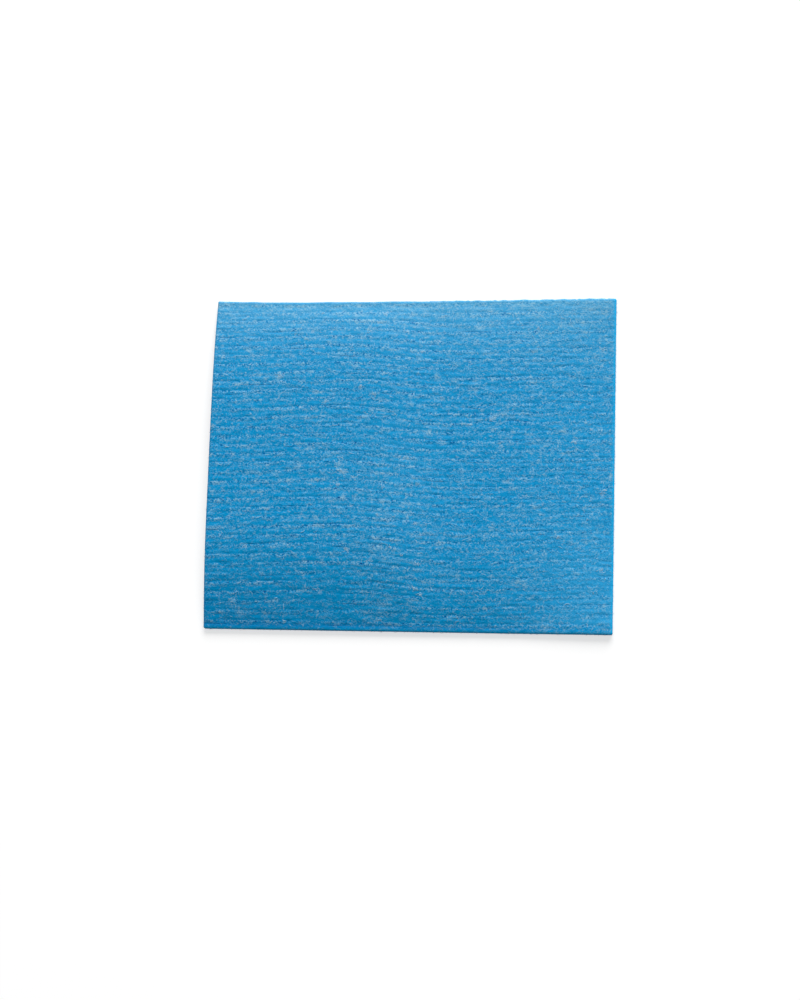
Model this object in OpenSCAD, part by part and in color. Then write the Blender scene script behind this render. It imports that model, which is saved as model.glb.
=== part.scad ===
// Sponge dishcloth: one die-cut sheet of ribbed cellulose sponge, dry and a little warped.
// It lies on its underside: the right edge is flat on the floor, and the left edge is arched.
// +X runs along the ribs, +Y across them and +Z up out of the upper face.

/* [Sheet] */
// Width of the sheet, along its ribs
cloth_w = 201.5; // [140:0.5:320]
// Height of the sheet, across its ribs
cloth_h = 167; // [110:1:260]
// Thickness of the dry sheet, from crest to crest
cloth_t = 3; // [2:0.1:6]
// Radius of the die-cut corners
corner_r = 0.5; // [0.2:0.1:8]
// How far the top edge dips in between its two corners
top_dip = 1; // [0:0.1:5]
// How far the cutting die presses the upper face down along the cut edge
edge_press = 0.4; // [0:0.05:0.9]
// Width of the flat rim that the cutting board leaves under the edges
rim_w = 2.5; // [1:0.1:8]

/* [Ribs] */
// Distance from one main groove to the next
rib_pitch = 4.6; // [3.6:0.1:9]
// Depth of a main groove, in each face
groove_depth = 0.16; // [0.04:0.02:0.8]
// Depth of the lesser groove that splits each rib in two, in each face
split_depth = 0.08; // [0.02:0.02:0.6]

/* [Rib course] */
// How far the ribs climb from the left edge to the top of their wave
wave_climb = 1.9; // [0:0.1:4]
// How far the ribs drop across the middle of the sheet
wave_drop = 3.8; // [0:0.1:6]
// Width of the stretch in which they drop
wave_drop_run = 54; // [30:1:90]
// Place of the middle of that stretch, from the middle of the sheet
wave_drop_x = -7; // [-25:1:25]
// How far the ribs climb again towards the right edge
wave_return = 1.1; // [0:0.1:4]
// How much more they climb towards the lower right corner
corner_climb = 2; // [0:0.1:4]

/* [Warp] */
// Rise of the left edge over the floor, between its two corners
left_rise = 5.2; // [2:0.1:12]
// Rise of the middle of the sheet over the line from the left edge to the right one
arch = 1.8; // [1:0.1:6]
// Run of the curl that brings the top edge down to the floor, at the left
top_run_left = 95; // [40:1:100]
// Run of the same curl at the right
top_run_right = 51; // [30:1:100]
// Run of the curl that brings the low edge down to the floor, at the left
low_run_left = 53; // [30:1:100]
// Run of the same curl at the right
low_run_right = 44; // [30:1:100]
// Height of the soft crease that runs down the middle of the sheet
crease_h = 0.6; // [0:0.05:0.8]
// How far the low right corner lifts off the floor
corner_lift = 1; // [0:0.1:4]

/* [Hidden] */

sponge_blue = [0.22, 0.58, 0.78];

half_w = cloth_w / 2;
half_h = cloth_h / 2;

// Rows of the grid follow the ribs: groove, crest, split groove, crest.
steps_per_rib = 4;
rows = round(steps_per_rib * cloth_h / rib_pitch);
row_step = cloth_h / rows;

// Columns run from edge to edge: one rim at each end, and the rest gathered to the middle.
cols = 18;
inner_cols = cols - 2;
gather = 0.35;
rim_at = 1 - rim_w / half_w;

// Shape of the dipped top edge: its deepest place lies about a third of the way along.
bow_power = 0.6;

// Length over which the ribs straighten to the cut edges, twice all their shifts together.
settle_run = 2 * (wave_climb + wave_drop + wave_return + corner_climb);

// The top edge curls over more sharply than the low edge.
top_power = 4;
low_power = 2;

// The warp is measured in shares of the half width (s) and half height (q).
corner_beside = 0.5;
corner_below = 0.4;
corner_power = 1.5;
crease_crest_s = -0.12;
crease_valley_s = 0.17;
crease_spread_s = 0.12;

// Smooth ramp from 0 at a to 1 at b.
function ramp(a, b, v) =
    let (k = min(1, max(0, (v - a) / (b - a))))
    k * k * (3 - 2 * k);

// Bell of height 1 around middle m.
function bell(m, spread, v) = exp(-pow((v - m) / spread, 2));

// Height along a curled edge: 0 on the floor, 1 from the end of the run inwards.
function curl(from_edge, run, power) =
    let (v = min(1, max(0, from_edge / run)))
    1 - pow(1 - v, power);

// Outline of a dipped edge, 0 at both corners, for v from 0 to 1 along the edge.
function bow(v) = sin(180 * pow(min(1, max(0, v)), bow_power));

// Share of the half width at which column i stands, -1 at the left edge and 1 at the right.
function column_share(i) =
    i == 0 ? -1
    : i == cols ? 1
    : let (c = 2 * (i - 1) / inner_cols - 1)
      rim_at * ((1 - gather) * c + gather * pow(c, 3));

// Height on the sheet of row j, before the ribs are shifted.
function row_level(j) = j * row_step - half_h;

// How far the rounded corners narrow the sheet at a level, on each side.
function corner_inset(level) =
    let (in = max(0, corner_r - (half_h - abs(level))))
    corner_r - sqrt(pow(corner_r, 2) - pow(in, 2));

// Place across the width: both side edges are straight.
function place_x(share, level) = share * (half_w - corner_inset(level));

// Shift of the ribs in the plane of the sheet: up, down across the middle, and up again.
function rib_shift(x, level) =
    let (drop_from = wave_drop_x - wave_drop_run / 2)
    let (drop_to = wave_drop_x + wave_drop_run / 2)
    let (climb_back = wave_return + corner_climb * ramp(0, half_h, -level))
    wave_climb * ramp(-half_w, drop_from, x)
        - wave_drop * ramp(drop_from, drop_to, x)
        + climb_back * ramp(drop_to, half_w, x);

// Place along the height: the ribs settle to the straight cut edges, and the top edge dips.
function place_y(x, level) =
    let (settle = ramp(0, settle_run, half_h - abs(level)))
    let (from_left = (x + half_w) / cloth_w)
    let (from_bottom = (level + half_h) / cloth_h)
    level + settle * rib_shift(x, level) - top_dip * bow(from_left) * from_bottom;

// Depth of the groove that row j runs along.
function groove(j) =
    let (k = j % steps_per_rib)
    k == 0 ? groove_depth
    : k == steps_per_rib / 2 ? split_depth
    : 0;

// Rise of the warped sheet over the floor, 0 at the right edge and along the top and low edges.
function lift(share, level) =
    let (s = max(-1, min(1, share / rim_at)))
    let (q = level / half_h)
    let (right = (1 + s) / 2)
    let (top_run = top_run_left + (top_run_right - top_run_left) * right)
    let (low_run = low_run_left + (low_run_right - low_run_left) * right)
    let (crease = bell(crease_crest_s, crease_spread_s, s) - bell(crease_valley_s, crease_spread_s, s))
    let (height = left_rise * (1 - right) + (1 - s * s) * (arch + crease_h * crease))
    let (below = max(0, (-q - corner_below) / (1 - corner_below)))
    let (corner = corner_lift * ramp(corner_beside, 1, s) * pow(below, corner_power))
    height * curl(half_h - rim_w - level, top_run, top_power)
        * curl(half_h - rim_w + level, low_run, low_power) + corner;

function on_edge(i, j) = i == 0 || i == cols || j == 0 || j == rows;

function on_rim(i, j) = i <= 1 || i >= cols - 1 || half_h - abs(row_level(j)) <= rim_w;

function upper_point(i, j) =
    let (share = column_share(i))
    let (level = row_level(j))
    let (x = place_x(share, level))
    let (down = on_edge(i, j) ? edge_press : groove(j))
    [x, place_y(x, level), lift(share, level) + cloth_t - down];

function under_point(i, j) =
    let (share = column_share(i))
    let (level = row_level(j))
    let (x = place_x(share, level))
    let (up = on_rim(i, j) ? 0 : groove(j))
    [x, place_y(x, level), lift(share, level) + up];

// Numbers of the points, upper face first.
function upper_at(i, j) = j * (cols + 1) + i;
function under_at(i, j) = (rows + 1) * (cols + 1) + upper_at(i, j);

// Two triangles that cover a four-sided patch, corners in clockwise order from outside.
function patch(a, b, c, d) = [[a, b, c], [a, c, d]];

module dishcloth() {
    points = [
        for (j = [0:rows]) for (i = [0:cols]) upper_point(i, j),
        for (j = [0:rows]) for (i = [0:cols]) under_point(i, j)
    ];
    upper = [
        for (j = [0:rows - 1]) for (i = [0:cols - 1])
            each patch(upper_at(i, j), upper_at(i, j + 1), upper_at(i + 1, j + 1), upper_at(i + 1, j))
    ];
    under = [
        for (j = [0:rows - 1]) for (i = [0:cols - 1])
            each patch(under_at(i, j), under_at(i + 1, j), under_at(i + 1, j + 1), under_at(i, j + 1))
    ];
    long_edges = [
        for (i = [0:cols - 1])
            each concat(
                patch(upper_at(i, 0), upper_at(i + 1, 0), under_at(i + 1, 0), under_at(i, 0)),
                patch(upper_at(i + 1, rows), upper_at(i, rows), under_at(i, rows), under_at(i + 1, rows)))
    ];
    short_edges = [
        for (j = [0:rows - 1])
            each concat(
                patch(upper_at(0, j + 1), upper_at(0, j), under_at(0, j), under_at(0, j + 1)),
                patch(upper_at(cols, j), upper_at(cols, j + 1), under_at(cols, j + 1), under_at(cols, j)))
    ];
    color(sponge_blue)
        polyhedron(points = points, faces = concat(upper, under, long_edges, short_edges), convexity = 4);
}

dishcloth();
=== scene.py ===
"""Looks of a ribbed sponge dishcloth that lies on a pale floor under a soft studio light.

The sheet is one closed mesh. Its points come from a few formulas in two parameters: the share of the
width and the level across the ribs. Lint that clings to the sponge is a second mesh.
"""

import math

import bpy
import numpy as np
from bpy.props import FloatProperty, FloatVectorProperty, IntProperty, PointerProperty
from mathutils import Matrix, Vector


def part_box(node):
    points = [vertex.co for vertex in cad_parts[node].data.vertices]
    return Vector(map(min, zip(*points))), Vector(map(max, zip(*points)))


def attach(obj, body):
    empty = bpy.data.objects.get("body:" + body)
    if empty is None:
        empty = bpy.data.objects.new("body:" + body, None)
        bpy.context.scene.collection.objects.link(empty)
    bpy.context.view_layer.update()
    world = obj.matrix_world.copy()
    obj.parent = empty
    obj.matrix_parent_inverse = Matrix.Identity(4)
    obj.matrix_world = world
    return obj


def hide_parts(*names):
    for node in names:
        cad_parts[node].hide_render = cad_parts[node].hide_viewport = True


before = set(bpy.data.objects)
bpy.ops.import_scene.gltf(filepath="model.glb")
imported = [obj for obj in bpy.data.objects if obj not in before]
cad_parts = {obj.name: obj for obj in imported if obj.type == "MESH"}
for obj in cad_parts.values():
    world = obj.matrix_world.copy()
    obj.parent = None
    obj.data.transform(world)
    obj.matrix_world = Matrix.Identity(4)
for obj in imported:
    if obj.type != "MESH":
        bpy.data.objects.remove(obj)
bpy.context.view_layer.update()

bl_info = {
    "name": "Sponge Dishcloth",
    "version": (1, 0, 0),
    "blender": (4, 5, 0),
    "location": "3D View > Sidebar > Dishcloth",
    "description": "Makes a ribbed cellulose sponge dishcloth and a plain stage to show it on",
    "category": "Add Mesh",
}

NODE = "dishcloth"
BODY = "root"

MM = 0.001
WHITE = (1.0, 1.0, 1.0, 1.0)
LOW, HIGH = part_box(NODE)
SHEET_W = (HIGH.x - LOW.x) / MM
# A hair more than the node's box is deep, because the top edge dips between rounded corners.
SHEET_H = 167.0

# Seeds of the random courses, one for each feature. A feature with more than one course counts on.
SEED_LINT, SEED_WANDER, SEED_TORN, SEED_UPPER, SEED_UNDER = 7, 11, 13, 100, 200
SEED_FUZZ, SEED_BANDS, SEED_PATCHES = 300, 501, 503
# Cells along each side of a random lattice before it repeats, and the cell in which a place of 0 lies.
LATTICE, LATTICE_MIDDLE = 512, 200.0

# Sizes of the patterns in the materials, in millimetres.
GRAIN, PATCH, FIBRE_COURSE, FIBRE_BREAK, PORE_CELL, SPECK_GAP = 0.66, 2.2, 2.8, 2.2, 1.7, 25.0
HAIRLINE_RUN, HAIRLINE_WOBBLE, TUFT = 22.0, 4.0, 2.5

# The stage, in metres: middle of the square key light and its side, half the floor's side, and the point
# that the camera looks at.
KEY_PLACE, KEY_SIDE = (0.37, 2.08, 1.37), 2.0
FLOOR_HALF = 4.0
AIM = (-0.00475, -0.018, 0.0)


def srgb(code):
    """Turns a hex colour such as #3A93C6 into the linear colour that Blender works in."""
    parts = [int(code[i:i + 2], 16) / 255 for i in (1, 3, 5)]
    return tuple(c / 12.92 if c <= 0.04045 else ((c + 0.055) / 1.055) ** 2.4 for c in parts)


def colour_property(name, description, code):
    """A colour that a user can change, from its hex value."""
    return FloatVectorProperty(name=name, description=description, subtype="COLOR", size=3,
                               min=0.0, max=1.0, default=srgb(code))


def length_property(name, description, mm):
    """A length that a user can change, from its millimetres."""
    return FloatProperty(name=name, description=description, subtype="DISTANCE", unit="LENGTH",
                         min=0.0, default=mm * MM)


class SheetSettings(bpy.types.PropertyGroup):
    thickness: length_property("Thickness", "Thickness of the dry sheet over its crests", 3.0)
    corner: length_property("Corner radius", "Radius of the die-cut corners", 0.5)
    top_dip: length_property("Top dip", "How far the top edge dips between its corners", 1.0)
    edge_press: length_property("Edge press", "How far the die presses the upper face down at the cut", 0.4)
    press_run: length_property("Press run", "Distance from the cut edge over which it is pressed", 1.3)
    rim: length_property("Flat rim", "Width of the flat rims that the sheet lies on", 2.5)
    rib_pitch: length_property("Rib pitch", "Distance from one main groove to the next", 4.6)
    groove: length_property("Groove depth", "Depth of a main groove", 0.16)
    split: length_property("Split depth", "Depth of the groove that splits each rib in two", 0.08)
    wave_climb: length_property("Wave climb", "Climb of the ribs from the left edge", 1.9)
    wave_drop: length_property("Wave drop", "Drop of the ribs across the middle", 3.8)
    wave_drop_run: length_property("Drop run", "Width of the stretch in which they drop", 54.0)
    wave_drop_x: FloatProperty(name="Drop place", description="Middle of that stretch", unit="LENGTH",
                               subtype="DISTANCE", default=-7.0 * MM)
    wave_return: length_property("Wave return", "Climb of the ribs towards the right edge", 1.1)
    corner_climb: length_property("Corner climb", "Extra climb towards the lower right corner", 2.0)
    left_rise: length_property("Left rise", "Rise of the left edge between its two corners", 5.2)
    arch: length_property("Arch", "Rise of the middle over the line between the side edges", 1.8)
    top_run: length_property("Top run", "Run of the curl at the top edge, at the left", 95.0)
    top_run_right: length_property("Top run, right", "Run of that curl at the right", 51.0)
    low_run: length_property("Low run", "Run of the curl at the low edge, at the left", 53.0)
    low_run_right: length_property("Low run, right", "Run of that curl at the right", 44.0)
    crease: length_property("Crease", "Height of the soft crease down the middle", 0.6)
    corner_lift: length_property("Corner lift", "Lift of the low right corner", 1.0)
    wander: length_property("Rib wander", "How far a rib strays from its course", 0.28)
    pucker: length_property("Pucker", "Height of the small puckers along the ribs", 0.11)
    ragged: length_property("Ragged edge", "How far the top edge strays from its course", 0.25)
    nap: length_property("Nap", "Height of the finest roughness in the mesh", 0.045)


class LintSettings(bpy.types.PropertyGroup):
    face_count: IntProperty(name="Face fibres", description="Fibres that lie on the upper face",
                            default=520, min=0)
    tuft_count: IntProperty(name="Tufts", description="Tangled tufts on the upper face", default=55, min=1)
    edge_count: IntProperty(name="Edge fibres", description="Fibre ends that stand out of the cut edges",
                            default=520, min=0)
    length: length_property("Fibre length", "Longest fibre on the face", 3.2)
    thick: length_property("Fibre thickness", "Thickness of a tuft of fibres", 0.16)


class SpongeColours(bpy.types.PropertyGroup):
    blue: colour_property("Sponge blue", "Dyed cellulose between the fibres", "#0099D6")
    # The pale veil is partly cotton fibres and partly painted glints.
    pale: colour_property("Pale veil", "Cotton fibres under the skin, and painted glints", "#90C2DC")
    # Painted shade: the colour put into pores, gaps, hair-thin cuts and grooves, and at the low rim and low
    # left.
    shade_blue: colour_property("Painted shade blue", "Painted shade in the pores, gaps, cuts and grooves", "#044A92")
    # Bright blue on the cut wall, and a painted highlight along the right and low edges of the faces.
    cut: colour_property("Cut blue", "Freshly cut sponge on the cut wall, and a painted highlight along the right and low edges", "#10B2F0")
    # Painted sheen: a paler blue along the top edge, where the curl catches the light.
    top_sheen_blue: colour_property("Painted top sheen", "Painted sheen along the top edge", "#84BACA")
    # Painted light: a lighter blue towards the right edge, the low right corner, the middle and the top rim.
    painted_light_blue: colour_property("Painted light blue", "Painted light towards the right edge and the low right corner", "#66CCFF")
    speck: colour_property("Speck", "Specks of dirt in the sponge", "#A0705A")
    lint: colour_property("Lint", "Loose cotton lint on the face", "#A0C8E2")


class StageSettings(bpy.types.PropertyGroup):
    lens: FloatProperty(name="Lens", description="Focal length, for a 36 mm tall picture",
                        subtype="DISTANCE_CAMERA", default=70.0)
    distance: FloatProperty(name="Distance", description="From the camera to the point it looks at",
                            subtype="DISTANCE", unit="LENGTH", default=0.963)
    lean_right: FloatProperty(name="Lean right", description="Tilt of the camera to the right",
                              subtype="ANGLE", default=math.radians(7.87))
    lean_near: FloatProperty(name="Lean near", description="Tilt of the camera to the lower edge",
                             subtype="ANGLE", default=math.radians(9.2))
    twist: FloatProperty(name="Twist", description="Turn of the camera about its own line of sight",
                         subtype="ANGLE", default=math.radians(1.7))
    floor: colour_property("Floor", "Pale floor", "#BEBEBE")
    floor_glow: FloatProperty(name="Floor glow", description="White that the floor adds for the camera",
                              default=0.65, min=0.0)
    key_power: FloatProperty(name="Key light", description="Power of the soft light beyond the top edge",
                             unit="POWER", default=93.0, min=0.0)
    fill: FloatProperty(name="Fill", description="Strength of the white light from all round",
                        default=0.18, min=0.0)


# ---------------------------------------------------------------- formulas

def ramp(a, b, v):
    """Smooth ramp: 0 below a, 1 above b, and 3k^2 - 2k^3 of the share k in between."""
    k = np.clip((v - a) / (b - a), 0, 1)
    return k * k * (3 - 2 * k)


def bell(middle, spread, v):
    """Bell of height 1: e to the minus square of the distance over the spread."""
    return np.exp(-((v - middle) / spread) ** 2)


def curl(v, power):
    """Height along a curled edge: 0 on the floor at 0 and level at 1, 1 less a power of 1 - v."""
    return 1 - (1 - v) ** power


def bow(v):
    """Outline of a bowed edge: a half sine wave whose peak lies about a third of the way along."""
    return np.sin(np.pi * np.clip(v, 0, 1) ** 0.6)


def lattice_noise(x, y, cell_x, cell_y, seed):
    """Smooth random relief from -1 to 1: random values on a lattice of cells, whose sizes are in
    millimetres, blended by the quintic 6f^5 - 15f^4 + 10f^3 of the place f within a cell."""
    table = np.random.default_rng(seed).uniform(-1, 1, (LATTICE, LATTICE))
    gx, gy = x / cell_x + LATTICE_MIDDLE, y / cell_y + LATTICE_MIDDLE
    i, j = np.floor(gx).astype(int), np.floor(gy).astype(int)
    fx, fy = gx - i, gy - j
    fx = fx ** 3 * (fx * (fx * 6 - 15) + 10)
    fy = fy ** 3 * (fy * (fy * 6 - 15) + 10)

    def at(a, b):
        return table[a % LATTICE, b % LATTICE]

    low = at(i, j) * (1 - fx) + at(i + 1, j) * fx
    high = at(i, j + 1) * (1 - fx) + at(i + 1, j + 1) * fx
    return low * (1 - fy) + high * fy


class Sheet:
    """The form of the cloth, in millimetres, as functions of the width share, which is -1 at the left
    edge and 1 at the right one, and the level across the ribs, which is 0 in the middle."""

    # Rows of the mesh to a rib, its columns, and how far the first columns lie from a side edge.
    steps_per_rib = 8
    columns = 166
    edge_steps = (0.0, 0.4, 1.0, 1.8)
    # Distance over which the painted light at an edge falls to a third.
    edge_light_run = 18.0
    # What each random course of a face adds to the face's seed.
    main_stray, split_stray, slow_course, quick_course = 10, 15, 20, 30
    pucker_course, fine_pucker_course, nap_course = 40, 50, 60

    def __init__(self, settings):
        # Every setting becomes an attribute of the same name, in millimetres.
        for name in settings.__annotations__:
            setattr(self, name, getattr(settings, name) / MM)
        self.w, self.h = SHEET_W, SHEET_H
        self.half_w, self.half_h = self.w / 2, self.h / 2
        # The ribs fill the height to the nearest quarter rib.
        quarters = round(4 * self.h / self.rib_pitch)
        self.pitch = 4 * self.h / quarters
        self.rows = quarters * self.steps_per_rib // 4
        self.rim_at = 1 - self.rim / self.half_w
        # The wave of the ribs dies out towards the cut edges over twice its whole travel.
        self.settle_run = 2 * (self.wave_climb + self.wave_drop + self.wave_return + self.corner_climb)

    def shares(self):
        """Places of the columns, -1 to 1: a few close ones at each edge, and even ones between."""
        edge = np.array(self.edge_steps) / self.half_w
        inner = self.columns - 2 * len(edge) + 2
        middle = np.linspace(-1 + edge[-1], 1 - edge[-1], inner + 1)
        return np.concatenate([-1 + edge[:-1], middle, (1 - edge[:-1])[::-1]])

    def levels(self):
        """Places of the rows across the ribs, evenly spaced."""
        return np.linspace(-self.half_h, self.half_h, self.rows + 1)

    def place(self, share, level):
        """Place in the plane: the rounded corners set x, and the wave of the ribs, which settles to
        the cut edges, and the dipped top edge, torn a little more in its right half, set y."""
        inside = np.clip(self.corner - (self.half_h - np.abs(level)), 0, self.corner)
        inset = self.corner - np.sqrt(self.corner ** 2 - inside ** 2)
        x = share * (self.half_w - inset)
        settle = ramp(0, self.settle_run, self.half_h - np.abs(level))
        y = level + settle * self.rib_shift(x, level)
        torn = 0.5 * lattice_noise(x, 0 * x, 5.5, 1.0, SEED_TORN)
        torn = torn + ramp(-0.2, 0.3, share) * lattice_noise(x, 0 * x, 1.5, 1.0, SEED_TORN + 1)
        ragged = self.ragged * torn * ramp(-6, 0, level - self.half_h)
        y = y - self.top_dip * bow((x + self.half_w) / self.w) * (level + self.half_h) / self.h + ragged
        return x, y

    def rib_shift(self, x, level):
        """Shift of the ribs in the plane: a climb, a drop across the middle, a climb, and a wander that
        is wider in the right half."""
        start = self.wave_drop_x - self.wave_drop_run / 2
        end = self.wave_drop_x + self.wave_drop_run / 2
        back = self.wave_return + self.corner_climb * ramp(0, self.half_h, -level)
        course = self.wave_climb * ramp(-self.half_w, start, x) - self.wave_drop * ramp(start, end, x)
        course = course + back * ramp(end, self.half_w, x)
        wander = lattice_noise(x, level, 16.0, 7.0, SEED_WANDER)
        wander = wander + 0.5 * lattice_noise(x, level, 7.0, 4.0, SEED_WANDER + 1)
        wider = 1 + 0.9 * ramp(-0.1, 0.5, x / self.half_w)
        return course + self.wander * wider * wander

    def lift(self, share, level):
        """Rise over the floor: from nothing at the right edge to the arched left edge, with a low arch
        and a soft crease between them, and curling down to the floor at the top and the low edge."""
        s = np.clip(share / self.rim_at, -1, 1)
        right = (1 + s) / 2
        crease = self.crease * (bell(-0.12, 0.12, s) - bell(0.17, 0.12, s))
        height = self.left_rise * (1 - right) + (1 - s * s) * (self.arch + crease)
        top_run = self.top_run + (self.top_run_right - self.top_run) * right
        low_run = self.low_run + (self.low_run_right - self.low_run) * right
        off_top = np.clip((self.half_h - self.rim - level) / top_run, 0, 1)
        off_low = np.clip((self.half_h - self.rim + level) / low_run, 0, 1)
        below = np.clip((-level / self.half_h - 0.4) / 0.6, 0, 1)
        corner = self.corner_lift * ramp(0.5, 1, s) * below ** 1.5
        return height * curl(off_top, 4) * curl(off_low, 2) + corner

    def groove_depth(self, x, level, seed):
        """Depth of the grooves at each point: a broad hollow and a narrow cut for the main grooves, and the
        same for the lesser ones halfway, each cut more deeply in some stretches than in others."""
        phase = (level + self.half_h) / self.pitch
        main_line = np.round(phase)
        split_line = np.floor(phase)
        main_stray = 0.22 * lattice_noise(x, main_line * 2, 2.6, 1.0, seed + self.main_stray)
        split_stray = 0.4 * lattice_noise(x, split_line * 2, 2.2, 1.0, seed + self.split_stray)
        off_main = (phase - main_line) * self.pitch + main_stray
        off_split = (phase - split_line - 0.5) * self.pitch + split_stray
        wave = 0.5 + 0.5 * np.cos(2 * np.pi * phase)
        main_force = self.stretches(x, main_line, seed)
        split_force = self.stretches(x, split_line + 0.5, seed + 1)
        main = self.groove * (0.35 * wave ** 2 + 0.55 * main_force * bell(0, 0.36, off_main))
        split = self.split * (0.6 * (1 - wave) ** 4 + 0.8 * split_force * bell(0, 0.36, off_split))
        return main + split

    def band_strength(self, x, level):
        """How plainly a rib shows, 0.2 to 1.5: its own random course along each rib and half rib, and
        less plainly in the right half."""
        rib = (level + self.half_h) / self.pitch
        long = lattice_noise(x, rib, 12.0, 1.0, SEED_BANDS)
        short = lattice_noise(x, rib * 2, 5.0, 1.0, SEED_BANDS + 1)
        plain = np.clip(0.9 + 0.6 * long + 0.35 * short, 0.3, 1.5)
        return plain * (1 - 0.3 * ramp(0.0, 0.5, x / self.half_w))

    def veil_and_highlight(self, x, level):
        """How pale the skin is, partly from paler fibres and partly painted light: in each rib highest just
        past a main groove towards the low edge, a painted highlight on the slope that faces the light, then
        falling slowly, as a sine wave and shares of its next two harmonics; painted light down the crease;
        paler in random patches and blots; the painted sheen along the top edge; painted light along the low
        edge at the right; and painted shade over the low part of the sheet, strongest at the low left."""
        # Painted highlight, partly paler fibres, on the side of each rib that faces the light.
        turn = -2 * np.pi * ((level + self.half_h) / self.pitch + 0.06)
        rib = 0.95 * np.sin(turn) + 0.6 * np.sin(2 * turn) + 0.45 * np.sin(3 * turn)
        rib = rib * self.band_strength(x, level)
        share = x / self.half_w
        crease = bell(-0.07, 0.16, share) * ramp(-0.5, 0.4, -level / self.half_h)
        patches = 0.5 * lattice_noise(x, level, 9.0, 6.0, SEED_PATCHES)
        patches = patches + 0.4 * lattice_noise(x, level, 4.0, 3.0, SEED_PATCHES + 1)
        blots = lattice_noise(x, level, 3.2, 2.6, SEED_PATCHES + 2)
        patches = patches + 6.0 * np.maximum(blots - 0.55, 0)
        # Painted light along the low edge at the right, and painted shade at the low left and over the low
        # part of the sheet.
        low = np.exp(-(level + self.half_h) / self.edge_light_run)
        painted_low_shade = ramp(0.3, 1.0, -level / self.half_h)
        return rib + 0.5 * crease + patches + 1.1 * self.top_sheen(level) + 0.9 * share * low - 0.6 * painted_low_shade

    def top_sheen(self, level):
        """Mask of the painted sheen: 1 at the top edge, and less by e to the minus distance."""
        return np.exp((level - self.half_h) / self.edge_light_run)

    def painted_light_and_shade(self, x, level):
        """Painted light and shade: up to 0.2 of painted light towards the right edge, most at the low
        corner, a little in the middle and along the top rim, and below 0, painted shade at the low rim and
        low left."""
        share, low = x / self.half_w, -level / self.half_h
        right = ramp(0.3, 1.0, share) * (0.35 + 0.65 * ramp(0, 0.8, low))
        middle = bell(-0.05, 0.3, share) * bell(0.1, 0.5, low)
        left = ramp(0.2, -1.0, share) * ramp(0.5, 1.0, low)
        rims = 0.18 * bell(self.half_h, 2.4, level) - 0.26 * bell(1.9 - self.half_h, 1.5, level)
        return 0.2 * right + 0.08 * middle - 0.1 * left + rims

    def openness(self, x, level):
        """How open the skin is, 0 to 1: pores and fibres break it along the pale side of each rib, and
        it is smooth along the other, as a cosine wave that peaks a fifth of a rib past the groove;
        a little smoother towards the low and the top edge."""
        turn = 2 * np.pi * ((level + self.half_h) / self.pitch + 0.2)
        wave = (0.4 * np.cos(turn) + 0.12 * np.cos(2 * turn)) * self.band_strength(x, level)
        closed = 0.15 * ramp(0.3, 1.0, -level / self.half_h) + 0.3 * self.top_sheen(level)
        return np.clip(0.5 + wave - closed, 0, 1)

    def stretches(self, x, line, seed):
        """How strongly a groove shows along its length, from 0.1 to 2, different on each line."""
        slow = lattice_noise(x, line * 2, 11.0, 1.0, seed + self.slow_course)
        quick = lattice_noise(x, line * 2, 3.0, 1.0, seed + self.quick_course)
        return np.clip(0.5 + 1.0 * slow + 0.6 * quick, 0.1, 2.0)

    def roughness(self, x, y, seed):
        """Small relief of the face: puckers drawn out along the ribs, and a finer nap."""
        puckers = lattice_noise(x, y, 3.4, 1.5, seed + self.pucker_course)
        puckers = puckers + 0.6 * lattice_noise(x, y, 1.9, 1.1, seed + self.fine_pucker_course)
        nap = lattice_noise(x, y, 1.2, 0.8, seed + self.nap_course)
        return self.pucker * puckers + self.nap * nap

    def from_edge(self, share, level):
        """Distance to the nearest cut edge."""
        return np.minimum(self.half_w * (1 - np.abs(share)), self.half_h - np.abs(level))

    def upper(self, share, level):
        """Upper face and its groove depth: pressed down along the cut by the square of the nearness."""
        x, y = self.place(share, level)
        edge = self.from_edge(share, level)
        inner = ramp(0, self.press_run, edge)
        cut = self.groove_depth(x, level, SEED_UPPER)
        press = self.edge_press * (1 - np.clip(edge / self.press_run, 0, 1)) ** 2
        z = self.lift(share, level) + self.thickness - press
        z = z - inner * cut + (0.3 + 0.7 * inner) * self.roughness(x, y, SEED_UPPER)
        return x, y, z, cut

    def under(self, share, level):
        """Underside and its groove depth: ribbed as the upper face is, but flat on the rims."""
        x, y = self.place(share, level)
        off_rim = ramp(1.0, 1.6, self.from_edge(share, level) / self.rim)
        cut = self.groove_depth(x, level, SEED_UNDER)
        rough = np.maximum(self.roughness(x, y, SEED_UNDER) + self.pucker, 0)
        z = self.lift(share, level) + off_rim * (cut + rough)
        return x, y, z, cut


def grid_faces(nx, ny, first, flip):
    """Four-sided faces of a grid of nx by ny cells whose points are numbered row by row."""
    j, i = np.meshgrid(np.arange(ny), np.arange(nx), indexing="ij")
    a = first + j * (nx + 1) + i
    corners = [a, a + 1, a + nx + 2, a + nx + 1]
    if flip:
        corners = corners[::-1]
    return np.stack(corners, -1).reshape(-1, 4)


def rim_loop(nx, ny):
    """Numbers of a grid's border points, in order round the sheet, seen from above anticlockwise."""
    bottom = np.arange(nx)
    right = np.arange(ny) * (nx + 1) + nx
    top = ny * (nx + 1) + np.arange(nx, 0, -1)
    left = np.arange(ny, 0, -1) * (nx + 1)
    return np.concatenate([bottom, right, top, left])


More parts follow.
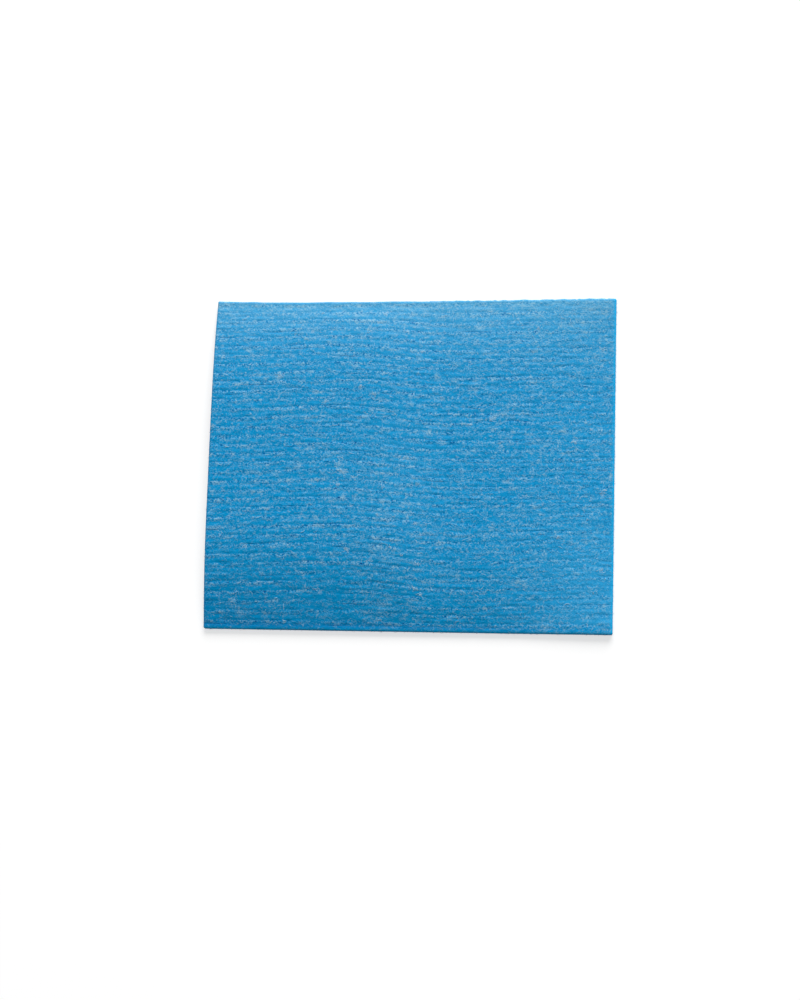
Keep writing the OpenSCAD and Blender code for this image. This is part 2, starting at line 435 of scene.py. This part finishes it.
def new_mesh(name, points, faces, attributes=()):
    """A smooth mesh object from arrays: points in metres, faces of four or three, point attributes."""
    mesh = bpy.data.meshes.new(name)
    mesh.from_pydata(points.tolist(), [], faces.tolist())
    for key, values in attributes:
        layer = mesh.attributes.new(key, "FLOAT", "POINT")
        layer.data.foreach_set("value", np.ascontiguousarray(values, dtype=np.float32))
    mesh.polygons.foreach_set("use_smooth", np.ones(len(mesh.polygons), bool))
    mesh.update()
    if mesh.validate():
        raise RuntimeError(f"{name}: the mesh had faulty faces")
    piece = bpy.data.objects.new(name, mesh)
    bpy.context.scene.collection.objects.link(piece)
    return piece


def cut_wall(upper, under, loop):
    """Rings of points down the cut wall, one and two thirds of the way from the upper border to the
    lower one. A fine random fuzz moves them along the outward normal, the border's way turned by 90
    degrees."""
    border = upper[loop]
    way = np.roll(border, -1, 0) - np.roll(border, 1, 0)
    outward = np.stack([way[:, 1], -way[:, 0], 0 * way[:, 0]], 1)
    outward /= np.linalg.norm(outward, axis=1, keepdims=True)
    steps = np.diff(border[:, :2], axis=0, prepend=border[:1, :2])
    along = np.cumsum(np.linalg.norm(steps, axis=1))
    rings = []
    for number, share_down in enumerate((0.33, 0.67)):
        ring = border * (1 - share_down) + under[loop] * share_down
        fuzz = 0.12 * lattice_noise(along, along * 0 + number, 1.3, 1.0, SEED_FUZZ)
        rings.append(ring + outward * fuzz[:, None])
    return rings


def skin_attributes(sheet, x, y, upper_cut, under_cut, wall_count):
    """What the material reads at each point. The two faces have the same values, apart from their
    grooves, and every point of the cut wall has one and the same."""
    deepest = sheet.groove + sheet.split
    # Painted highlight along the right and the low edge of both faces.
    edge_highlight = np.maximum(bell(sheet.half_w, 1.0, x), 0.8 * bell(-sheet.half_h, 0.8, y))
    middle_way = sheet.half_h / sheet.pitch
    wall_value = {"cut_wall_and_edge_highlight": 1.0, "veil_and_highlight": 0.0, "open_skin": 1.0, "top_sheen": 0.0, "painted_light_and_shade": 0.0,
                  "rib_way": middle_way}
    face_values = {"cut_wall_and_edge_highlight": edge_highlight, "veil_and_highlight": sheet.veil_and_highlight(x, y), "open_skin": sheet.openness(x, y),
                   "top_sheen": sheet.top_sheen(y), "painted_light_and_shade": sheet.painted_light_and_shade(x, y),
                   "rib_way": y / sheet.pitch + middle_way}
    groove = [upper_cut / deepest, under_cut / deepest, np.full(wall_count, 0.3)]
    attributes = [("groove", np.concatenate(groove))]
    for name, face in face_values.items():
        attributes.append((name, np.concatenate([face, face, np.full(wall_count, wall_value[name])])))
    return attributes


def sheet_arrays(sheet):
    """Points, faces and attributes of the whole sheet: two faces and a wall of rings between them."""
    share, level = np.meshgrid(sheet.shares(), sheet.levels())
    nx, ny = share.shape[1] - 1, share.shape[0] - 1
    *upper, upper_cut = (part.ravel() for part in sheet.upper(share, level))
    *under, under_cut = (part.ravel() for part in sheet.under(share, level))
    upper, under = np.stack(upper, 1), np.stack(under, 1)
    loop = rim_loop(nx, ny)
    rings = cut_wall(upper, under, loop)
    count = len(upper)
    wall = [loop] + [2 * count + k * len(loop) + np.arange(len(loop)) for k in range(len(rings))]
    wall.append(count + loop)
    faces = [grid_faces(nx, ny, 0, False), grid_faces(nx, ny, count, True)]
    for high, low in zip(wall[:-1], wall[1:]):
        faces.append(np.stack([np.roll(high, -1), high, low, np.roll(low, -1)], 1))
    points = np.concatenate([upper, under, *rings])
    flat_x, flat_y = share.ravel() * sheet.half_w, level.ravel()
    attributes = skin_attributes(sheet, flat_x, flat_y, upper_cut, under_cut, len(loop) * len(rings))
    return points * MM, np.concatenate(faces), attributes


def tubes(paths, radii, flatness):
    """Closed four-sided tubes carried along many paths at once. A section's corners lie one radius to
    each side of the path and one flattened radius above and below it. paths is fibre, step, xyz."""
    count, steps, _ = paths.shape
    along = np.gradient(paths, axis=1)
    along /= np.linalg.norm(along, axis=2, keepdims=True)
    side = np.cross(along, [0.0, 0.0, 1.0])
    side /= np.maximum(np.linalg.norm(side, axis=2, keepdims=True), 1e-9)
    up = np.cross(side, along)
    corners = [side, up * flatness, -side, -up * flatness]
    points = np.stack([paths + radii[..., None] * way for way in corners], 2)
    ring = np.arange(4)
    first = (np.arange(count)[:, None, None] * steps + np.arange(steps - 1)[None, :, None]) * 4
    turned = (ring + 1) % 4
    walls = np.stack([first + ring, first + turned, first + 4 + turned, first + 4 + ring], -1)
    start = np.arange(count)[:, None] * steps * 4
    caps = [start + ring[::-1], start + (steps - 1) * 4 + ring]
    faces = np.concatenate([walls.reshape(-1, 4), *(cap.reshape(-1, 4) for cap in caps)])
    return points.reshape(-1, 3), faces


def lying_fibres(sheet, middle_x, middle_y, length, thick, bend, rng):
    """Fibres that lie on the upper face: arcs in the plane of the sheet whose ends are under its skin.
    Every argument but the sheet is an array with one value for each fibre, in millimetres."""
    count, steps = len(middle_x), 8
    t = np.linspace(-0.5, 0.5, steps)
    heading = rng.normal(0, 0.9, count)
    turn = heading[:, None] + bend[:, None] * t
    step = length[:, None] / (steps - 1)
    path_x, path_y = np.cumsum(np.cos(turn) * step, 1), np.cumsum(np.sin(turn) * step, 1)
    x = middle_x[:, None] + path_x - path_x.mean(1, keepdims=True)
    y = middle_y[:, None] + path_y - path_y.mean(1, keepdims=True)
    x = np.clip(x, -sheet.half_w + 0.5, sheet.half_w - 0.5)
    y = np.clip(y, -sheet.half_h + 0.5, sheet.half_h - 0.5)
    px, py, pz, _ = sheet.upper(x / sheet.half_w, y)
    stand = 0.05 + 0.1 * rng.uniform(0, 1, count) ** 2
    pz = pz - 0.06 + stand[:, None] * 4 * (0.25 - t ** 2)
    radius = thick[:, None] / 2 * np.sqrt(1.1 - 4 * t ** 2)
    return np.stack([px, py, pz], -1), radius


def loose_fibres(sheet, lint, rng):
    """Single fibres, spread evenly: many fine ones, nearly straight, and some thick ones that curl."""
    count = lint.face_count
    x = rng.uniform(-0.985, 0.985, count) * sheet.half_w
    y = rng.uniform(-0.985, 0.985, count) * sheet.half_h
    curly = rng.uniform(0, 1, count) < 0.3
    length = lint.length / MM * rng.uniform(0.3, 1.0, count) ** 1.5 * np.where(curly, 1.3, 1.0)
    thick = lint.thick / MM * rng.uniform(0.6, 1.2, count) * np.where(curly, 1.6, 1.0)
    bend = rng.normal(0, 1.0, count) * np.where(curly, 3.0, 1.4)
    return lying_fibres(sheet, x, y, length, thick, bend, rng)


def tufts(sheet, lint, rng):
    """Tangled tufts: a handful of short curled fibres round each of many places, which lie thickest
    down the crease."""
    place = rng.integers(0, lint.tuft_count, lint.tuft_count * 14)
    near_crease = rng.uniform(0, 1, lint.tuft_count) < 0.45
    share = np.where(near_crease, rng.normal(-0.07, 0.16, lint.tuft_count),
                     rng.uniform(-0.97, 0.97, lint.tuft_count))
    level = np.where(near_crease, rng.uniform(-0.95, 0.4, lint.tuft_count),
                     rng.uniform(-0.97, 0.97, lint.tuft_count))
    size = rng.uniform(0.4, 1.5, lint.tuft_count)[place]
    count = len(place)
    x = share[place] * sheet.half_w + rng.normal(0, 0.9, count) * size
    y = level[place] * sheet.half_h + rng.normal(0, 0.5, count) * size
    length = rng.uniform(0.7, 2.0, count) * (0.5 + 0.7 * size)
    thick = lint.thick / MM * rng.uniform(0.8, 1.4, count)
    return lying_fibres(sheet, x, y, length, thick, rng.normal(0, 2.5, count), rng)


def edge_fibres(sheet, lint, rng):
    """Fibre ends along the cut: each starts inside the wall, heads outwards and bends as it goes.
    Its place is a distance along the four edges, from the low left corner anticlockwise."""
    count, steps = lint.edge_count, 6
    w, h = sheet.w, sheet.h
    t = np.linspace(0, 1, steps)
    place = rng.uniform(0, 2 * (w + h), count)
    side = np.digitize(place, [w, w + h, 2 * w + h])
    out = np.array([(0.0, -1.0), (1.0, 0.0), (0.0, 1.0), (-1.0, 0.0)])[side]
    share = np.choose(side, [2 * place / w - 1, out[:, 0], 1 - 2 * (place - w - h) / w, out[:, 0]])
    level = np.choose(side, [out[:, 1], place - w - h / 2, out[:, 1], h / 2 - (place - 2 * w - h)])
    along_side = out[:, 1] == 0
    share = np.where(along_side, out[:, 0], np.clip(share, -0.992, 0.992))
    level = np.where(along_side, np.clip(level, -h / 2 + 0.8, h / 2 - 0.8), out[:, 1] * h / 2)
    x, y, z, _ = sheet.upper(share, level)
    down = rng.uniform(0.05, 0.9, count) * (sheet.thickness - sheet.edge_press)
    reach = rng.uniform(0.25, 0.75, count)[:, None]
    drift = rng.normal(0, 0.5, count)[:, None]
    along = np.stack([-out[:, 1], out[:, 0]], 1)
    outwards = -0.25 + (0.25 + reach) * t
    sideways = drift * t ** 2
    px = x[:, None] + out[:, :1] * outwards + along[:, :1] * sideways
    py = y[:, None] + out[:, 1:] * outwards + along[:, 1:] * sideways
    pz = (z - down)[:, None] + rng.normal(0, 0.2, count)[:, None] * t ** 2
    radius = lint.thick / MM / 2 * rng.uniform(0.5, 1.0, count)[:, None] * (1 - 0.6 * t)
    return np.stack([px, py, np.maximum(pz, 0.15)], -1), radius


def lint_arrays(sheet, lint):
    """Points and faces of all the fibres in one mesh."""
    rng = np.random.default_rng(SEED_LINT)
    flatness = 0.6
    groups = [tubes(*make(sheet, lint, rng), flatness) for make in (loose_fibres, tufts, edge_fibres)]
    starts = np.cumsum([0] + [len(points) for points, _ in groups[:-1]])
    points = np.concatenate([points for points, _ in groups])
    return points * MM, np.concatenate([faces + start for (_, faces), start in zip(groups, starts)])


# ---------------------------------------------------------------- materials

def add(tree, kind, inputs=None, **settings):
    """Adds one node. inputs maps a socket's name or number to a value or to another node's socket."""
    made = tree.nodes.new(kind)
    for name, value in settings.items():
        setattr(made, name, value)
    for key, value in (inputs or {}).items():
        if isinstance(value, bpy.types.NodeSocket):
            tree.links.new(value, made.inputs[key])
        else:
            made.inputs[key].default_value = value
    return made


def blank_material(name):
    """A new material with no nodes in it."""
    material = bpy.data.materials.new(name)
    material.use_nodes = True
    material.node_tree.nodes.clear()
    return material


def rgba(colour):
    """A colour with its alpha, as a colour socket takes it."""
    return (*colour, 1.0)


def scale_of(size):
    """Scale of a pattern whose cells are that many millimetres wide, on coordinates in metres."""
    return 1 / MM / size


def skin_grain(tree, drawn, open_skin):
    """Grains of sponge skin, 0.7 mm wide and curled, above and below 0, and stronger where the skin is
    open. The real ones are finer, and these are just coarse enough to show."""
    grain = add(tree, "ShaderNodeTexNoise", {"Vector": drawn, "Scale": scale_of(GRAIN), "Detail": 0.5,
                                             "Roughness": 0.8, "Distortion": 0.9}).outputs["Fac"]
    grain = add(tree, "ShaderNodeMath", {0: grain, 1: -0.5}).outputs[0]
    strength = add(tree, "ShaderNodeMapRange", {"Value": open_skin, "To Min": 1.1,
                                                "To Max": 1.85}).outputs[0]
    return add(tree, "ShaderNodeMath", {0: grain, 1: strength}, operation="MULTIPLY").outputs[0]


def sunk_fibres(tree, place):
    """Cotton fibres in the skin, 1 on a fibre and 0 off it: the thin level lines of a noise, broken up
    by a second noise."""
    lines = add(tree, "ShaderNodeTexNoise", {"Vector": place, "Scale": scale_of(FIBRE_COURSE),
                                             "Detail": 1.0, "Distortion": 0.6}).outputs["Fac"]
    off_line = add(tree, "ShaderNodeMath", {0: lines, 1: 0.5}, operation="SUBTRACT").outputs[0]
    off_line = add(tree, "ShaderNodeMath", {0: off_line}, operation="ABSOLUTE").outputs[0]
    fibre = add(tree, "ShaderNodeMapRange", {"Value": off_line, "From Min": 0.0, "From Max": 0.022,
                                             "To Min": 1.0, "To Max": 0.0}).outputs[0]
    broken = add(tree, "ShaderNodeTexNoise", {"Vector": place, "Scale": scale_of(FIBRE_BREAK),
                                              "Detail": 1.0}).outputs["Fac"]
    broken = add(tree, "ShaderNodeMapRange", {"Value": broken, "From Min": 0.48,
                                              "From Max": 0.58}).outputs[0]
    return add(tree, "ShaderNodeMath", {0: fibre, 1: broken}, operation="MULTIPLY").outputs[0]


def pinholes(tree, place, open_skin):
    """Pinhole pores of the open skin, about 0.7 mm across, some wide and some nearly closed: 1 in the
    hole itself, and a wider value that falls from 1 to 0 round it."""
    cells = add(tree, "ShaderNodeTexVoronoi", {"Vector": place, "Scale": scale_of(PORE_CELL),
                                               "Randomness": 1.0}).outputs
    made = []
    for inside, outside in ((0.12, 0.31), (0.2, 0.6)):
        near = add(tree, "ShaderNodeMapRange", {"Value": cells["Distance"], "From Min": inside,
                                                "From Max": outside, "To Min": 1.0,
                                                "To Max": 0.0}).outputs[0]
        for share in (cells["Color"], open_skin):
            near = add(tree, "ShaderNodeMath", {0: near, 1: share}, operation="MULTIPLY").outputs[0]
        made.append(near)
    return made


def hairlines(tree, place):
    """Where a rib line has been pulled into a hair-thin cut: 1 in a line 0.3 mm wide that runs for one
    or two centimetres along some of the ribs and half ribs, and 0 everywhere else."""
    way = add(tree, "ShaderNodeAttribute", attribute_name="rib_way").outputs["Fac"]
    wobble = add(tree, "ShaderNodeTexNoise", {"Vector": place, "Scale": scale_of(HAIRLINE_WOBBLE),
                                              "Detail": 1.0}).outputs["Fac"]
    way = add(tree, "ShaderNodeMath", {0: wobble, 1: 0.16, 2: way}, operation="MULTIPLY_ADD").outputs[0]
    way = add(tree, "ShaderNodeMath", {0: way, 1: -0.08}).outputs[0]
    halves = add(tree, "ShaderNodeMath", {0: way, 1: 2.0}, operation="MULTIPLY").outputs[0]
    line = add(tree, "ShaderNodeMath", {0: halves}, operation="ROUND").outputs[0]
    off = add(tree, "ShaderNodeMath", {0: halves, 1: line}, operation="SUBTRACT").outputs[0]
    off = add(tree, "ShaderNodeMath", {0: off}, operation="ABSOLUTE").outputs[0]
    thin = add(tree, "ShaderNodeMapRange", {"Value": off, "From Min": 0.02, "From Max": 0.11,
                                            "To Min": 1.0, "To Max": 0.0}).outputs[0]
    # Each line has its own course of the mask.
    across = add(tree, "ShaderNodeSeparateXYZ", {0: place}).outputs[0]
    course = add(tree, "ShaderNodeMath", {0: across, 1: scale_of(HAIRLINE_RUN)},
                 operation="MULTIPLY").outputs[0]
    own = add(tree, "ShaderNodeMath", {0: line, 1: 3.7}, operation="MULTIPLY").outputs[0]
    course = add(tree, "ShaderNodeCombineXYZ", {0: course, 1: own}).outputs[0]
    mask = add(tree, "ShaderNodeTexNoise", {"Vector": course, "Scale": 1.0, "Detail": 1.0}).outputs["Fac"]
    # Slightly fewer of them towards the right.
    mask = add(tree, "ShaderNodeMath", {0: across, 1: -0.2, 2: mask}, operation="MULTIPLY_ADD").outputs[0]
    mask = add(tree, "ShaderNodeMapRange", {"Value": mask, "From Min": 0.585, "From Max": 0.71}).outputs[0]
    return add(tree, "ShaderNodeMath", {0: thin, 1: mask}, operation="MULTIPLY").outputs[0]


def cellulose_sponge(colours):
    """Dyed cellulose sponge cloth, cast with short cotton fibres and dried: a matt, finely pored skin under
    a broken pale veil that partly stands for painted glints, with painted shade in its gaps, pores, cuts and
    grooves, a painted sheen along the top edge, painted light and shade across the sheet, and a fresher
    colour where the die has cut it, with a painted highlight along the right and low edges."""
    material = blank_material("Cellulose sponge, cast and die-cut")
    tree = material.node_tree
    place = add(tree, "ShaderNodeTexCoord").outputs["Object"]
    open_skin, groove, cut_wall_and_edge_highlight, veil_and_highlight, top_sheen, painted_light_and_shade = (
        add(tree, "ShaderNodeAttribute", attribute_name=name).outputs["Fac"]
        for name in ("open_skin", "groove", "cut_wall_and_edge_highlight", "veil_and_highlight", "top_sheen", "painted_light_and_shade"))
    # Grains and patches are drawn out along the ribs: 1.25 times as long as they are high.
    drawn = add(tree, "ShaderNodeMapping", {"Vector": place, "Scale": (0.8, 1.0, 1.0)}).outputs[0]
    grain = skin_grain(tree, drawn, open_skin)
    patch = add(tree, "ShaderNodeTexNoise", {"Vector": drawn, "Scale": scale_of(PATCH), "Detail": 2.0,
                                             "Roughness": 0.7}).outputs["Fac"]
    fibre = sunk_fibres(tree, place)
    pore, round_pore = pinholes(tree, place, open_skin)
    hairline = hairlines(tree, place)

    # Pale veil, partly fibres near the skin and partly painted glints: where grain and patches are both
    # high, and as a painted highlight on one side of each rib.
    veil = grain
    for part, share in ((patch, 0.85), (veil_and_highlight, 0.095), (round_pore, -0.2)):
        veil = add(tree, "ShaderNodeMath", {0: part, 1: share, 2: veil},
                   operation="MULTIPLY_ADD").outputs[0]
    veil = add(tree, "ShaderNodeMapRange", {"Value": veil, "From Min": 0.355, "From Max": 0.985}).outputs[0]
    veil = add(tree, "ShaderNodeMath", {0: veil, 1: 1.3}, operation="POWER").outputs[0]

    # Painted shade in the depths: gaps between the grains of the open skin, pores, hair-thin cuts and the
    # grooves.
    gap_shade = add(tree, "ShaderNodeMapRange", {"Value": grain, "From Min": -0.07, "From Max": -0.52}).outputs[0]
    rough_side = add(tree, "ShaderNodeMapRange", {"Value": open_skin, "To Min": 0.3,
                                                  "To Max": 1.15}).outputs[0]
    gap_shade = add(tree, "ShaderNodeMath", {0: gap_shade, 1: rough_side}, operation="MULTIPLY").outputs[0]
    painted_depth_shade = add(tree, "ShaderNodeMath", {0: gap_shade, 1: pore}, operation="MAXIMUM").outputs[0]
    painted_depth_shade = add(tree, "ShaderNodeMath", {0: hairline, 1: 0.45, 2: painted_depth_shade}, operation="MULTIPLY_ADD").outputs[0]
    # Painted shade in the grooves.
    painted_depth_shade = add(tree, "ShaderNodeMath", {0: groove, 1: 0.18, 2: painted_depth_shade}, operation="MULTIPLY_ADD",
               use_clamp=True).outputs[0]

    # A few specks of rust-red dirt, half a millimetre across.
    specks = add(tree, "ShaderNodeTexVoronoi", {"Vector": place,
                                                "Scale": scale_of(SPECK_GAP)}).outputs["Distance"]
    specks = add(tree, "ShaderNodeMapRange", {"Value": specks, "From Min": 0.006, "From Max": 0.013,
                                              "To Min": 0.7, "To Max": 0.0}).outputs[0]

    # The colours lie over one another in this order, each as strong as its own factor.
    # Painted sheen along the top edge.
    top_sheen = add(tree, "ShaderNodeMath", {0: top_sheen, 1: 0.25}, operation="MULTIPLY").outputs[0]
    # Painted light across the sheet, and below 0 painted shade at the low rim and low left.
    painted_light_blue = add(tree, "ShaderNodeMapRange", {"Value": painted_light_and_shade}).outputs[0]
    painted_shade = add(tree, "ShaderNodeMapRange", {"Value": painted_light_and_shade, "From Max": -1.0}).outputs[0]
    lint = add(tree, "ShaderNodeMath", {0: fibre, 1: 0.5}, operation="MULTIPLY").outputs[0]
    layers = ((veil, colours.pale), (top_sheen, colours.top_sheen_blue), (painted_light_blue, colours.painted_light_blue),
              (painted_shade, colours.shade_blue), (painted_depth_shade, colours.shade_blue), (cut_wall_and_edge_highlight, colours.cut),
              (specks, colours.speck), (lint, colours.lint))
    colour = rgba(colours.blue)
    for factor, over in layers:
        colour = add(tree, "ShaderNodeMix", {0: factor, 6: colour, 7: rgba(over)},
                     data_type="RGBA").outputs[2]

    height = grain
    for part, share in ((patch, 0.8), (pore, -0.5), (fibre, 0.3), (hairline, -0.6)):
        height = add(tree, "ShaderNodeMath", {0: part, 1: share, 2: height},
                     operation="MULTIPLY_ADD").outputs[0]
    bump = add(tree, "ShaderNodeBump", {"Height": height, "Strength": 1.0,
                                        "Distance": 0.105 * MM}).outputs[0]
    shader = add(tree, "ShaderNodeBsdfPrincipled", {
        "Base Color": colour, "Roughness": 0.42, "IOR": 1.47, "Specular IOR Level": 0.06,
        "Normal": bump})
    add(tree, "ShaderNodeOutputMaterial", {"Surface": shader.outputs[0]})
    return material


def cotton_lint(colours):
    """Dyed cotton lint, broken and half buried: short matt fibres, paler than the sponge they lie on."""
    material = blank_material("Cotton lint, dyed and dried")
    tree = material.node_tree
    place = add(tree, "ShaderNodeTexCoord").outputs["Object"]
    # Some tufts took the dye better than others, a few millimetres apart.
    dyed = add(tree, "ShaderNodeTexNoise", {"Vector": place, "Scale": scale_of(TUFT),
                                            "Detail": 1.0}).outputs["Fac"]
    dyed = add(tree, "ShaderNodeMapRange", {"Value": dyed, "From Min": 0.35, "From Max": 0.65}).outputs[0]
    colour = add(tree, "ShaderNodeMix", {0: dyed, 6: rgba(colours.pale), 7: rgba(colours.lint)},
                 data_type="RGBA").outputs[2]
    shader = add(tree, "ShaderNodeBsdfPrincipled", {"Base Color": colour, "Roughness": 0.85, "IOR": 1.47})
    add(tree, "ShaderNodeOutputMaterial", {"Surface": shader.outputs[0]})
    return material


def paper_floor(stage):
    """Matt studio paper, unrolled: evenly pale, and to the camera brighter than its light makes it, so
    that it reads as white and still keeps the shadow."""
    material = blank_material("Matt studio paper, unrolled")
    tree = material.node_tree
    paper = add(tree, "ShaderNodeBsdfDiffuse", {"Color": rgba(stage.floor), "Roughness": 0.3}).outputs[0]
    glow = add(tree, "ShaderNodeEmission", {"Color": WHITE, "Strength": stage.floor_glow}).outputs[0]
    both = add(tree, "ShaderNodeAddShader", {0: paper, 1: glow}).outputs[0]
    mix = add(tree, "ShaderNodeMixShader", {0: seen_directly(tree), 1: paper, 2: both}).outputs[0]
    add(tree, "ShaderNodeOutputMaterial", {"Surface": mix})
    return material


def seen_directly(tree):
    """1 for rays from the camera and for those that gloss or glass sends on, else 0."""
    path = add(tree, "ShaderNodeLightPath").outputs
    seen = path["Is Camera Ray"]
    for other in ("Is Glossy Ray", "Is Transmission Ray"):
        seen = add(tree, "ShaderNodeMath", {0: seen, 1: path[other]}, operation="MAXIMUM").outputs[0]
    return seen


# ---------------------------------------------------------------- operators

class DISHCLOTH_OT_sheet(bpy.types.Operator):
    """Make the ribbed sponge sheet"""

    bl_idname = "dishcloth.sheet"
    bl_label = "Sponge Sheet"

    def execute(self, context):
        sheet = Sheet(context.scene.dishcloth_sheet)
        points, faces, attributes = sheet_arrays(sheet)
        piece = new_mesh("sponge_sheet", points, faces, attributes)
        piece.data.materials.append(cellulose_sponge(context.scene.dishcloth_colours))
        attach(piece, BODY)
        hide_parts(NODE)
        return {"FINISHED"}


class DISHCLOTH_OT_lint(bpy.types.Operator):
    """Make the loose fibres that cling to the sheet"""

    bl_idname = "dishcloth.lint"
    bl_label = "Lint"

    def execute(self, context):
        sheet = Sheet(context.scene.dishcloth_sheet)
        points, faces = lint_arrays(sheet, context.scene.dishcloth_lint)
        piece = new_mesh("cotton_lint", points, faces)
        piece.data.materials.append(cotton_lint(context.scene.dishcloth_colours))
        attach(piece, BODY)
        return {"FINISHED"}


class DISHCLOTH_OT_stage(bpy.types.Operator):
    """Make the pale floor, the soft light and the camera"""

    bl_idname = "dishcloth.stage"
    bl_label = "Stage"

    def execute(self, context):
        scene, stage = context.scene, context.scene.dishcloth_stage
        self.floor(stage)
        self.world(scene, stage)
        self.key_light(scene, stage)
        self.camera(scene, stage)
        scene.view_settings.view_transform = "Standard"
        return {"FINISHED"}

    def floor(self, stage):
        """A square sheet, large enough to fill the view."""
        half = FLOOR_HALF
        corners = np.array([(-half, -half, 0), (half, -half, 0), (half, half, 0), (-half, half, 0)])
        floor = new_mesh("floor", corners, np.array([[0, 1, 2, 3]]))
        floor.data.materials.append(paper_floor(stage))

    def world(self, scene, stage):
        """White all round: a plain soft fill, and a white backdrop to the camera."""
        scene.world = bpy.data.worlds.new("Studio")
        scene.world.use_nodes = True
        tree = scene.world.node_tree
        tree.nodes.clear()
        fill, backdrop = (
            add(tree, "ShaderNodeBackground", {"Color": WHITE, "Strength": strength}).outputs[0]
            for strength in (stage.fill, 1.0))
        mix = add(tree, "ShaderNodeMixShader", {0: seen_directly(tree), 1: fill, 2: backdrop}).outputs[0]
        add(tree, "ShaderNodeOutputWorld", {"Surface": mix})

    def key_light(self, scene, stage):
        """A square soft light beyond the top edge, low enough to graze the ribs, that faces the middle
        of the cloth."""
        data = bpy.data.lights.new("key_light", "AREA")
        data.shape = "SQUARE"
        data.size = KEY_SIDE
        data.energy = stage.key_power
        light = bpy.data.objects.new("key_light", data)
        light.location = KEY_PLACE
        light.rotation_euler = Vector(KEY_PLACE).to_track_quat("Z", "Y").to_euler()
        scene.collection.objects.link(light)

    def camera(self, scene, stage):
        """A camera over the cloth, leaning a little to its right and to its lower edge."""
        lean = Vector((math.sin(stage.lean_right), -math.sin(stage.lean_near), 0.0))
        lean.z = math.sqrt(1 - lean.length_squared)
        across = Vector((0, 1, 0)).cross(lean).normalized()
        upright = Matrix((across, lean.cross(across), lean)).transposed()
        data = bpy.data.cameras.new("camera")
        data.lens = stage.lens
        data.sensor_width = 36.0
        data.clip_start, data.clip_end = 0.05, 20.0
        camera = bpy.data.objects.new("camera", data)
        turn = upright @ Matrix.Rotation(stage.twist, 3, "Z")
        camera.matrix_world = Matrix.Translation(Vector(AIM) + lean * stage.distance) @ turn.to_4x4()
        scene.collection.objects.link(camera)
        scene.camera = camera


class DISHCLOTH_PT_panel(bpy.types.Panel):
    """Sidebar panel with the sizes, the colours and one button for each piece"""

    bl_idname = "DISHCLOTH_PT_panel"
    bl_label = "Dishcloth"
    bl_space_type = "VIEW_3D"
    bl_region_type = "UI"
    bl_category = "Dishcloth"

    def draw(self, context):
        for group_name in GROUPS:
            group = getattr(context.scene, group_name)
            box = self.layout.box()
            for name in group.__annotations__:
                box.prop(group, name)
        for operator in OPERATORS:
            self.layout.operator(operator.bl_idname)


GROUPS = {"dishcloth_sheet": SheetSettings, "dishcloth_lint": LintSettings,
          "dishcloth_colours": SpongeColours, "dishcloth_stage": StageSettings}
OPERATORS = (DISHCLOTH_OT_sheet, DISHCLOTH_OT_lint, DISHCLOTH_OT_stage)


def register():
    for cls in (*GROUPS.values(), *OPERATORS, DISHCLOTH_PT_panel):
        bpy.utils.register_class(cls)
    for name, cls in GROUPS.items():
        setattr(bpy.types.Scene, name, PointerProperty(type=cls))


def unregister():
    for name in GROUPS:
        delattr(bpy.types.Scene, name)
    for cls in reversed((*GROUPS.values(), *OPERATORS, DISHCLOTH_PT_panel)):
        bpy.utils.unregister_class(cls)


def main():
    register()
    bpy.ops.dishcloth.sheet()
    bpy.ops.dishcloth.lint()
    bpy.ops.dishcloth.stage()
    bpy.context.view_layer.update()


if __name__ == "__main__":
    main()
